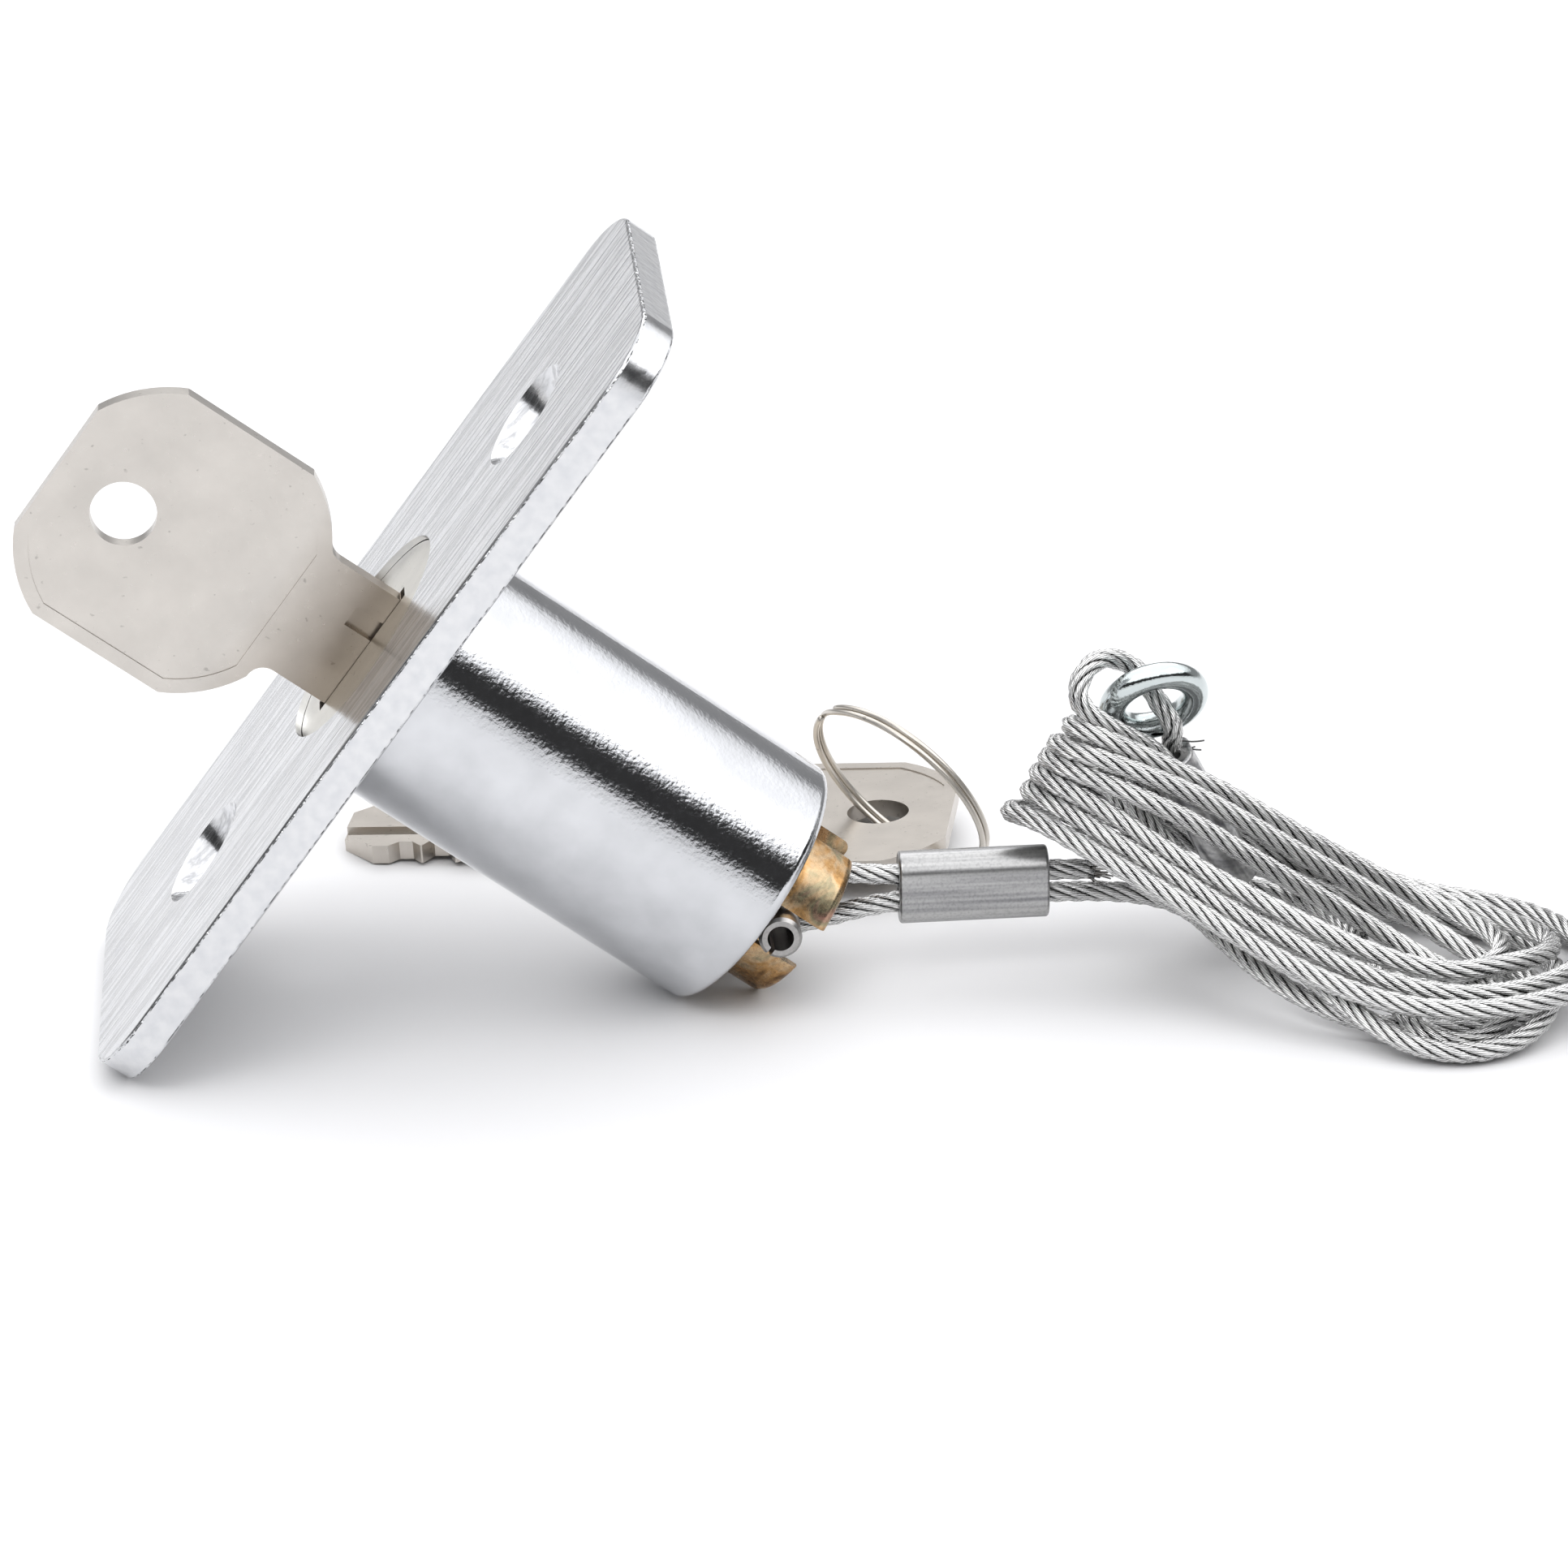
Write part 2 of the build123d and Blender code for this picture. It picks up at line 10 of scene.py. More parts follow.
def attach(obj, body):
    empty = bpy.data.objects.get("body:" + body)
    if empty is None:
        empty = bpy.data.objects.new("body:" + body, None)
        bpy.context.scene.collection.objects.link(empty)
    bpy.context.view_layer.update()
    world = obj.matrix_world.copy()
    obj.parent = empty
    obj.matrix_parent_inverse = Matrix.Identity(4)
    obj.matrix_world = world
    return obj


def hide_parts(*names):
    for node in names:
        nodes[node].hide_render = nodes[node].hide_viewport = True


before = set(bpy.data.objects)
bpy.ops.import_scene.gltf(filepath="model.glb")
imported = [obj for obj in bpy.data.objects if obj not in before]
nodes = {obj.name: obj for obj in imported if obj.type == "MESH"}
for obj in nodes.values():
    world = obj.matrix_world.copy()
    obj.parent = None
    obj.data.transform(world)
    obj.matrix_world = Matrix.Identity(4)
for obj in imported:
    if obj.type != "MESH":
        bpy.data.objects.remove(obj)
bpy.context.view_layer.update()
scene = bpy.context.scene

# ---------------------------------------------------------------- the part's own frame

MM = 0.001
LOCK_X = -13.7  # the plate's middle in the row frame, along +X and +Y, in mm
LOCK_Y = -14.36
TILT = math.radians(37.0999)  # the barrel's slope down from the plate


def row(x, y, z):
    """A layout point in mm, measured from below the plate's middle, as a row-frame point in metres."""
    return Vector(((x + LOCK_X) * MM, (y + LOCK_Y) * MM, z * MM))


def new_mesh(name, points, faces):
    """A mesh object of its own from points in metres and faces."""
    mesh = bpy.data.meshes.new(name)
    mesh.from_pydata([tuple(point) for point in points], [], faces)
    mesh.update()
    piece = bpy.data.objects.new(name, mesh)
    scene.collection.objects.link(piece)
    return piece


# ---------------------------------------------------------------- material helpers


def add_ramp(tree, value, stops):
    """A colour ramp fed by a socket. Each stop is a place and a grey or a colour."""
    ramp = tree.nodes.new("ShaderNodeValToRGB")
    while len(ramp.color_ramp.elements) < len(stops):
        ramp.color_ramp.elements.new(0.5)
    for element, (place, colour) in zip(ramp.color_ramp.elements, stops):
        shade = colour if isinstance(colour, tuple) else (colour, colour, colour)
        element.position = place
        element.color = (*shade, 1)
    tree.links.new(value, ramp.inputs["Fac"])
    return ramp.outputs["Color"]


def scaled(colour, amount):
    """The colour made lighter or darker."""
    return tuple(part * amount for part in colour)


class Finish:
    """A node material with one Principled shader, and the few node patterns that the finishes share."""

    def __init__(self, name, colour, metallic, roughness):
        self.material = bpy.data.materials.new(name)
        self.material.use_nodes = True
        self.tree = self.material.node_tree
        self.shader = self.tree.nodes["Principled BSDF"]
        self.shader.inputs["Base Color"].default_value = (*colour, 1)
        self.shader.inputs["Metallic"].default_value = metallic
        self.shader.inputs["Roughness"].default_value = roughness
        self.normal = None

    def add(self, kind, **settings):
        """A new node with those settings."""
        node = self.tree.nodes.new(kind)
        for key, value in settings.items():
            setattr(node, key, value)
        return node

    def link(self, source, target):
        self.tree.links.new(source, target)

    def place(self, cell, turn=0.0):
        """Object coordinates counted in cells of that size in metres, turned with the lock."""
        coordinates = self.add("ShaderNodeTexCoord")
        mapping = self.add("ShaderNodeMapping", vector_type="TEXTURE")
        mapping.inputs["Rotation"].default_value = (0, turn, 0)
        mapping.inputs["Scale"].default_value = cell
        self.link(coordinates.outputs["Object"], mapping.inputs["Vector"])
        return mapping.outputs["Vector"]

    def noise(self, cell, detail=3.0, turn=0.0, distortion=0.0):
        """Noise from 0 to 1 whose cells have that size in metres."""
        noise = self.add("ShaderNodeTexNoise")
        noise.inputs["Scale"].default_value = 1.0
        noise.inputs["Detail"].default_value = detail
        noise.inputs["Distortion"].default_value = distortion
        self.link(self.place(cell, turn), noise.inputs["Vector"])
        return noise.outputs["Fac"]

    def ramp(self, value, *stops):
        return add_ramp(self.tree, value, stops)

    def math(self, operation, *values):
        """A sum of numbers and sockets."""
        node = self.add("ShaderNodeMath", operation=operation)
        for socket, value in zip(node.inputs, values):
            if isinstance(value, (int, float)):
                socket.default_value = value
            else:
                self.link(value, socket)
        return node.outputs["Value"]

    def times(self, first, second):
        """One colour multiplied by another."""
        mix = self.add("ShaderNodeMix", data_type="RGBA", blend_type="MULTIPLY")
        mix.inputs["Factor"].default_value = 1.0
        self.link(first, mix.inputs["A"])
        self.link(second, mix.inputs["B"])
        return mix.outputs["Result"]

    def facing(self, direction):
        """1 where the surface faces along a direction either way, and 0 where it lies along it."""
        surface = self.add("ShaderNodeNewGeometry")
        dot = self.add("ShaderNodeVectorMath", operation="DOT_PRODUCT")
        self.link(surface.outputs["Normal"], dot.inputs[0])
        dot.inputs[1].default_value = direction
        return self.math("ABSOLUTE", dot.outputs["Value"])

    def along_lock(self, start, end):
        """0 to 1 over a stretch of the lock's axis, in mm past the frame's origin."""
        parts = self.add("ShaderNodeSeparateXYZ")
        self.link(self.place((MM, MM, MM), TILT), parts.inputs["Vector"])
        spread = self.add("ShaderNodeMapRange")
        spread.inputs["From Min"].default_value = start
        spread.inputs["From Max"].default_value = end
        self.link(parts.outputs["X"], spread.inputs["Value"])
        return spread.outputs["Result"]

    def colour(self, value):
        self.link(value, self.shader.inputs["Base Color"])

    def roughness(self, value, low, high):
        """Roughness that follows a value from 0 to 1."""
        spread = self.add("ShaderNodeMapRange")
        spread.inputs["To Min"].default_value = low
        spread.inputs["To Max"].default_value = high
        self.link(value, spread.inputs["Value"])
        self.link(spread.outputs["Result"], self.shader.inputs["Roughness"])

    def bump(self, height, distance, strength=1.0):
        """Adds a bump of that height in metres on top of the ones before."""
        bump = self.add("ShaderNodeBump")
        bump.inputs["Strength"].default_value = strength
        bump.inputs["Distance"].default_value = distance
        self.link(height, bump.inputs["Height"])
        if self.normal is not None:
            self.link(self.normal, bump.inputs["Normal"])
        self.normal = bump.outputs["Normal"]
        self.link(self.normal, self.shader.inputs["Normal"])


# ---------------------------------------------------------------- materials


FINE = (0.0003, 0.0003, 0.0003)  # a cell for pits and specks, in metres


def brushed(name, colour, low, high, cell, rough=(0.2, 0.38)):
    """Metal with fine streaks along one direction, soft blotches and small pits."""
    finish = Finish(name, colour, 1.0, rough[0])
    streaks = finish.noise(cell, 4.0, TILT)
    blotches = finish.noise((0.007, 0.007, 0.007), 4.0, TILT)
    shade = finish.ramp(blotches, (0.3, scaled(colour, low)), (0.7, scaled(colour, high)))
    lines = finish.ramp(streaks, (0.36, 0.85), (0.6, 1.0))
    finish.colour(finish.times(shade, lines))
    finish.roughness(streaks, *rough)
    finish.bump(streaks, 3e-6)
    pits = finish.noise(FINE, 2.0, TILT)
    finish.bump(finish.ramp(pits, (0.3, 0.0), (0.42, 1.0)), 2e-6)
    return finish.material


def rolled_plate():
    """Plated strip: streaks down its faces, mottled cut edges, and rough corners between."""
    finish = Finish("plate_finish", (0.68, 0.69, 0.71), 1.0, 0.2)
    facing = finish.facing((math.cos(TILT), 0, -math.sin(TILT)))
    face = finish.math("MULTIPLY_ADD", facing, 0.88, 0.12)
    rim = finish.ramp(facing, (0.1, 0.0), (0.28, 1.0), (0.5, 1.0), (0.64, 0.0))
    chips = finish.math("MULTIPLY", rim, finish.noise((0.0006, 0.0006, 0.0008), 3.0, TILT))
    streaks = finish.math("MULTIPLY", finish.noise((0.0009, 0.0009, 0.02), 6.0, TILT), face)
    mottle = finish.noise((0.0014, 0.0014, 0.0014), 4.0)
    base = finish.ramp(mottle, (0.3, (0.61, 0.62, 0.64)), (0.65, (0.70, 0.705, 0.715)))
    lines = finish.ramp(streaks, (0.36, 1.0), (0.47, 0.66), (0.56, 1.0))
    dark_chips = finish.ramp(chips, (0.5, 1.0), (0.56, 0.1))
    finish.colour(finish.times(finish.times(base, lines), dark_chips))
    finish.roughness(mottle, 0.1, 0.24)
    finish.bump(streaks, 1.3e-4)
    finish.bump(mottle, 1.8e-5)
    finish.bump(chips, 6e-4)
    return finish.material


def tumbled(name, colour, reflection_span=None):
    """Tumbled nickel silver: satin, with faint clouds and nicks; over a given stretch of the lock's axis a
    painted reflection darkens it and turns it browner.
    """
    finish = Finish(name, colour, 1.0, 0.3)
    cloud = finish.noise((0.006, 0.004, 0.006), 4.0, TILT)
    grain = finish.noise((0.0004, 0.0004, 0.0004), 3.0)
    nicks = finish.noise((0.0011, 0.0007, 0.0009), 2.0)
    base = finish.ramp(cloud, (0.3, scaled(colour, 0.88)), (0.7, colour))
    if reflection_span:
        # painted reflection: the key's neck is darkened and browned towards the plug, standing in for the
        # plate and dark surroundings reflected in it
        painted_reflection = finish.ramp(finish.along_lock(*reflection_span), (0.0, 1.0), (1.0, (0.7, 0.64, 0.58)))
        base = finish.times(base, painted_reflection)
    marks = finish.ramp(nicks, (0.25, 0.72), (0.31, 1.0))
    finish.colour(finish.times(base, marks))
    finish.roughness(grain, 0.24, 0.36)
    finish.bump(grain, 3e-6)
    finish.bump(marks, 8e-6)
    return finish.material


def chrome(name, colour, turn=TILT):
    """Plated metal: nearly a mirror, with the ripple and specks of plating over turned metal."""
    finish = Finish(name, colour, 1.0, 0.1)
    specks = finish.noise((0.0005, 0.0005, 0.0005), 4.0, turn)
    rings = finish.noise((0.0002, 0.02, 0.02), 2.0, turn)
    cloud = finish.noise((0.005, 0.005, 0.005), 4.0, turn)
    finish.colour(finish.ramp(cloud, (0.3, scaled(colour, 0.86)), (0.7, colour)))
    finish.roughness(specks, 0.03, 0.15)
    finish.bump(rings, 2e-6)
    finish.bump(specks, 2.6e-5)
    return finish.material


def yellow_zinc():
    """Zinc plating passivated yellow, which drifts from gold-brown to green and pink."""
    finish = Finish("yellow_zinc_finish", (0.62, 0.46, 0.2), 1.0, 0.26)
    drift = finish.noise((0.0035, 0.0035, 0.005), 4.0, TILT, 0.8)
    tint = finish.ramp(
        drift,
        (0.28, (0.17, 0.10, 0.05)),
        (0.42, (0.50, 0.29, 0.12)),
        (0.52, (0.56, 0.40, 0.24)),
        (0.62, (0.34, 0.30, 0.19)),
        (0.74, (0.50, 0.27, 0.21)),
    )
    specks = finish.noise((0.0005, 0.0005, 0.0005), 3.0, TILT)
    finish.colour(finish.times(tint, finish.ramp(specks, (0.3, 0.72), (0.6, 1.0))))
    finish.roughness(specks, 0.18, 0.36)
    finish.bump(finish.noise((0.0003, 0.01, 0.01), 2.0, TILT), 4e-6)
    finish.bump(specks, 5e-6)
    return finish.material


def drawn_aluminium():
    """Swaged aluminium: streaks along the ferrule, shallow dents from the press, and painted dark and light
    stripes along it that stand in for reflections.
    """
    finish = Finish("ferrule_finish", (0.5, 0.5, 0.5), 1.0, 0.3)
    streaks = finish.noise((0.006, 0.0002, 0.0002), 4.0)
    dents = finish.noise((0.012, 0.003, 0.003), 2.0)
    specks = finish.noise(FINE, 3.0)
    # painted reflection: dark and light stripes along the ferrule, in place of the dark band and highlight
    # that it reflects
    painted_bands = finish.noise((0.05, 0.0012, 0.0012), 2.0)
    shade = finish.ramp(painted_bands, (0.34, (0.2, 0.2, 0.21)), (0.62, (0.5, 0.5, 0.495)))
    finish.colour(finish.times(shade, finish.ramp(specks, (0.3, 0.8), (0.55, 1.0))))
    finish.roughness(streaks, 0.24, 0.4)
    finish.bump(streaks, 6e-6)
    finish.bump(dents, 2e-5, 0.5)
    finish.bump(specks, 5e-6)
    return finish.material


WIRES = 9  # wires showing round one strand
WIRE_LAY = 5.4  # mm of strand for one turn of a wire


def rope_wire():
    """Galvanised strands, with painted shade in the grooves between wires and on each strand's side towards
    the core.

    U runs once round a strand from its outer side, and V counts millimetres along it."""
    finish = Finish("rope_finish", (0.75, 0.75, 0.73), 1.0, 0.3)
    uv = finish.add("ShaderNodeUVMap", uv_map="strand")
    parts = finish.add("ShaderNodeSeparateXYZ")
    finish.link(uv.outputs["UV"], parts.inputs["Vector"])
    around = finish.math("MULTIPLY", parts.outputs["X"], float(WIRES))
    along = finish.math("MULTIPLY", parts.outputs["Y"], WIRES / WIRE_LAY)
    phase = finish.math("MULTIPLY", finish.math("ADD", around, along), math.pi)
    round_wire = finish.math("ABSOLUTE", finish.math("SINE", phase))
    # painted shade: darker in the grooves between the wires, where they shade each other
    groove_shade = finish.ramp(round_wire, (0.0, 0.16), (0.35, 0.72), (0.8, 1.0))
    outward = finish.math("COSINE", finish.math("MULTIPLY", parts.outputs["X"], 2 * math.pi))
    crown = finish.math("MULTIPLY_ADD", outward, 0.5, 0.5)
    # painted shade: each strand is darkened on its side towards the core, where the strands shade each
    # other
    strand_shade = finish.ramp(crown, (0.5, 0.06), (0.58, 0.55), (0.68, 1.0))
    dust = finish.noise((0.0016, 0.0016, 0.0016), 4.0)
    shade = finish.ramp(dust, (0.25, (0.6, 0.6, 0.6)), (0.7, (0.84, 0.84, 0.825)))
    finish.colour(finish.times(finish.times(shade, groove_shade), strand_shade))
    finish.roughness(dust, 0.2, 0.36)
    finish.bump(round_wire, 7e-5, 0.7)
    return finish.material


def dark_wire():
    """The frayed end's wires, dulled where the rope was burnt through."""
    finish = Finish("fray_finish", (0.3, 0.29, 0.27), 1.0, 0.42)
    soot = finish.noise((0.0007, 0.0007, 0.0007), 3.0)
    finish.colour(finish.ramp(soot, (0.35, (0.12, 0.11, 0.10)), (0.65, (0.45, 0.44, 0.42))))
    finish.bump(soot, 1e-5)
    return finish.material


plate_finish = rolled_plate()
chrome_finish = chrome("barrel_finish", (0.66, 0.67, 0.69))
plug_finish = tumbled("plug_finish", (0.70, 0.68, 0.62))
brass_finish = brushed("brass_finish", (0.74, 0.58, 0.28), 0.85, 1.0, (0.004, 0.0003, 0.0003))
KEY_NECK = (-51.0, -41.0)  # mm along the lock's axis, from the bow to the plug, over which the key's neck gets a painted darker, browner reflection
key_finish = tumbled("key_finish", (0.62, 0.59, 0.55), reflection_span=KEY_NECK)
spare_finish = tumbled("spare_key_finish", (0.60, 0.56, 0.51))
pin_finish = brushed(
    "roll_pin_finish", (0.42, 0.41, 0.40), 0.7, 1.1, (0.0003, 0.006, 0.0003), rough=(0.22, 0.4)
)
steel_finish = brushed("spring_finish", (0.6, 0.6, 0.6), 0.85, 1.0, (0.0004, 0.0004, 0.0004))
ring_finish = chrome("ring_finish", (0.60, 0.65, 0.65), 0.0)
split_finish = tumbled("split_ring_finish", (0.62, 0.585, 0.53))
gold_finish = yellow_zinc()
ferrule_finish = drawn_aluminium()
rope_finish = rope_wire()
fray_finish = dark_wire()

node_finishes = {
    "faceplate": plate_finish,
    "barrel": chrome_finish,
    "sleeve": steel_finish,
    "lock_plug": plug_finish,
    "locking_bolt": brass_finish,
    "key": key_finish,
    "spare_key": spare_finish,
    "castellated_retainer": gold_finish,
    "retainer_screw": steel_finish,
    "roll_pin": pin_finish,
    "end_ring": ring_finish,
    "ferrule_1": ferrule_finish,
    "ferrule_2": ferrule_finish,
}
SHARP = math.radians(32)  # edges steeper than this stay sharp

for name, node in nodes.items():
    finish = node_finishes.get(name)
    if finish is None:
        finish = brass_finish if name.startswith("tumbler_") and "spring" not in name else steel_finish
    node.data.materials.clear()
    node.data.materials.append(finish)
    node.data.shade_smooth()
    node.data.set_sharp_from_angle(angle=SHARP)

# ---------------------------------------------------------------- rope route

# Layout points in mm, in the order the rope runs. Turn n goes out along the near side, round
# the right end on the table, back along the far side and over the left end of the hank.
lead = [
    (76.2, 0, 11.25), (71.5, 0, 11.55), (54.1, 0, 11.55), (44.65, 0, 12.88), (38.7, 0, 13.55),
    (36.25, 0, 9.48), (39.0, 0, 5.6), (44.9, 0, 6.77), (54.1, 0, 8.85), (71.5, 0, 8.85), (80.5, 0, 8.4),
]
turn_1 = [
    (86.5, -1.6, 7.1), (89.5, -9.0, 5.9), (93.5, -15.5, 4.0), (99, -21.2, 2.4), (106, -25, 1.5),
    (114, -26, 1.25), (121, -22.4, 1.25), (125.6, -15.8, 1.25), (126.4, -8.6, 1.25), (123.6, -1.8, 1.25),
    (118.4, 2.4, 1.25), (112.2, 4.6, 1.5), (106, 5.8, 3.4), (100, 6.8, 5.6), (94, 7.9, 8.2),
    (88, 8.1, 10.6), (82, 6.8, 14.0), (76, 4.8, 16.6), (70.0, 3.7, 17.2), (66.2, 0.6, 18.6),
]
turn_2 = [
    (69.4, -3.7, 19.2), (75, -8.4, 17.0), (80.3, -11.7, 14.6), (84.8, -14.2, 12.5), (89.2, -16.7, 10.2),
    (93.6, -19.4, 8.2), (98, -22.6, 6.8), (103.5, -26.6, 5.8), (110, -29.4, 5.4), (117.5, -29.6, 5.4),
    (125, -25.8, 5.0), (131, -18, 3.6), (132.4, -10, 2.2), (130.2, -2.6, 1.4), (125.8, 3.0, 1.3),
    (119.8, 6.4, 1.3), (113.8, 8.2, 1.8), (108.6, 8.8, 2.9), (103, 9.0, 5.4), (97, 9.0, 8.4),
    (91, 8.8, 11.4), (85, 8.8, 14.4), (78, 7.0, 17.6), (71.8, 5.0, 19.4), (68.6, 1.4, 20.6),
]
turn_3 = [
    (71.2, -3.4, 20.9), (77.2, -7.6, 17.9), (83.5, -11, 14.8), (89, -14.4, 12.0), (94.5, -17.2, 9.6),
    (100, -20.2, 7.6), (106, -24.0, 6.2), (112.5, -26.8, 5.8), (119, -26.0, 5.7), (125.4, -21.4, 5.2),
    (128.8, -14.6, 4.4), (129.4, -8, 3.7), (126.6, -1.2, 3.4), (121.4, 3.6, 3.4), (114.6, 6.2, 3.7),
    (107.4, 7.8, 6.0), (100, 8.8, 9.5), (94, 10.1, 11.9), (88, 10.2, 14.8), (82, 8.4, 18.2),
    (75.0, 5.8, 20.9), (69.8, 2.4, 22.4),
]
turn_4 = [
    (71.0, -2.6, 23.2), (76.5, -5.4, 20.8), (82.2, -8.6, 17.4), (88, -11.8, 14.6), (94, -14.8, 12.0),
    (100, -17.8, 9.6), (106, -20.9, 7.8), (112, -23.2, 7.0), (118, -22.2, 7.2), (123.6, -18, 6.2),
    (125.8, -11.4, 4.8), (123.4, -4.8, 4.0), (118.2, 0.8, 4.2), (111.4, 3.9, 5.2), (105, 5.4, 8.0),
    (99.5, 6.4, 11.0), (94, 8.2, 14.2), (88, 8.6, 17.4), (82, 6.6, 20.8), (75.4, 4.4, 22.9),
    (70.6, 1.8, 24.4),
]
turn_5 = [
    (72.4, -3.0, 25.0), (80.2, -6.1, 22.4), (86, -7.0, 19.5), (91.6, -7.2, 15.6), (97.2, -6.8, 11.7),
    (103, -6.2, 7.6), (108.4, -6.8, 4.2), (113.4, -9.6, 1.6), (117.4, -15, 1.5), (119.8, -20.6, 3.1),
    (118.4, -26.6, 3.2), (113.4, -29.8, 1.3), (107.8, -28.8, 2.4), (106.0, -20.6, 3.8), (105.5, -10.5, 3.8),
    (104.2, -1.0, 3.6), (101.2, 5.2, 3.3), (97.8, 10.2, 3.2), (92.8, 10.2, 4.2), (87.4, 4.6, 8.6),
    (81.8, 0.6, 14.8),
    (77.9, 2.2, 20.9), (74.4, 2.8, 25.0), (71.4, 0.6, 26.4),
]
turn_6 = [
    (74.4, -3.6, 26.7), (81, -5.0, 24.5), (87.4, -5.0, 21.4), (94, -4.8, 17.0), (100, -4.2, 12.8),
    (106, -3.4, 8.8), (111.6, -3.8, 5.0), (116.6, -6.6, 2.4), (120.6, -11.8, 1.5), (123.2, -17.4, 2.8),
    (123.6, -23.6, 3.5), (120.0, -29.4, 2.0), (113.4, -32.2, 1.3), (107.0, -30.8, 1.9), (102.4, -26.6, 3.4),
    (98.6, -20.8, 5.2), (94.6, -14.6, 6.8), (90.4, -9.4, 9.6), (85.6, -5.0, 13.6), (81.2, -1.6, 18.4),
    (78.2, 0.6, 23.4), (75.4, 2.2, 27.4), (73.0, -0.4, 28.9),
]
turn_7 = [
    (76.6, -2.9, 28.2), (83.6, -3.2, 24.6), (89.6, -2.9, 21.4), (95.6, -2.2, 17.2), (101.6, -1.0, 12.9),
    (107.4, 0.2, 9.0), (112.8, 0.3, 5.7), (117.4, -2.6, 4.4), (120.4, -8, 4.0), (119.6, -13.6, 4.0),
    (114.2, -15.4, 3.0), (107.6, -10.4, 1.4), (101.6, -3.0, 1.3), (96.6, -0.4, 2.4),
]
end_eye = [
    (92.8, 1.1, 8.2), (84.8, 1.1, 23.87), (78.8, -1.6, 27.97), (73.6, -0.7, 31.6), (76.4, 2.5, 35.6),
    (81.4, 5.7, 33.4), (83.8, 3.1, 29.57), (85.7, 1.9, 26.77), (84.8, 3.8, 23.87), (92.8, 3.8, 8.2),
]
route_points = lead + turn_1 + turn_2 + turn_3 + turn_4 + turn_5 + turn_6 + turn_7 + end_eye

STEPS_PER_POINT = 10


def nurbs_line(points):
    """The points along a smooth NURBS curve that has the given control points."""
    curve = bpy.data.curves.new("route", "CURVE")
    curve.dimensions = "3D"
    curve.resolution_u = STEPS_PER_POINT
    spline = curve.splines.new("NURBS")
    spline.points.add(len(points) - 1)
    for control, point in zip(spline.points, points):
        control.co = (*point, 1)
    spline.order_u = 3
    spline.use_endpoint_u = True
    holder = bpy.data.objects.new("route", curve)
    mesh = bpy.data.meshes.new_from_object(holder)
    line = [vertex.co.copy() for vertex in mesh.vertices]
    bpy.data.meshes.remove(mesh)
    bpy.data.objects.remove(holder)
    return line


def even_line(line, spacing):
    """The same line with points an even distance apart, as an array."""
    points = np.array([tuple(point) for point in line])
    lengths = np.linalg.norm(np.diff(points, axis=0), axis=1)
    reach = np.concatenate(([0.0], np.cumsum(lengths)))
    places = np.linspace(0, reach[-1], max(3, round(reach[-1] / spacing)))
    return np.stack([np.interp(places, reach, points[:, axis]) for axis in range(3)], 1), places


def carried_frames(points):
    """Directions along and across a line, carried along it without twist."""
    along = np.gradient(points, axis=0)
    along /= np.linalg.norm(along, axis=1)[:, None]
    first = np.cross(along[0], (0, 0, 1))
    sides = [first / np.linalg.norm(first)]
    for step in along[1:]:
        side = sides[-1] - step * np.dot(sides[-1], step)
        sides.append(side / np.linalg.norm(side))
    sides = np.array(sides)
    return along, sides, np.cross(along, sides)


def tube_rings(centres, side, other, radius, corners):
    """Rings of points about a line, as an array of rings by corners by 3."""
    angles = np.arange(corners) * 2 * math.pi / corners
    cosines, sines = np.cos(angles)[None, :, None], np.sin(angles)[None, :, None]
    spread = side[:, None] * cosines + other[:, None] * sines
    return centres[:, None] + spread * radius


def tube_faces(rings, corners, start):
    """The quads between rings, and a cap at each end."""
    faces = []
    for ring in range(rings - 1):
        low = start + ring * corners
        for corner in range(corners):
            after = (corner + 1) % corners
            faces.append((low + corner, low + after, low + corners + after, low + corners + corner))
    faces.append(tuple(start + corner for corner in reversed(range(corners))))
    faces.append(tuple(start + (rings - 1) * corners + corner for corner in range(corners)))
    return faces


STRANDS = 6
STRAND_R = 0.41 * MM
STRAND_PLACE = 0.78 * MM  # from the rope's middle to a strand's
ROPE_LAY = 13.5 * MM
RING_SPACING = 0.95 * MM
STRAND_CORNERS = 8
CORE_CORNERS = 6
CORE_R = 0.5 * MM


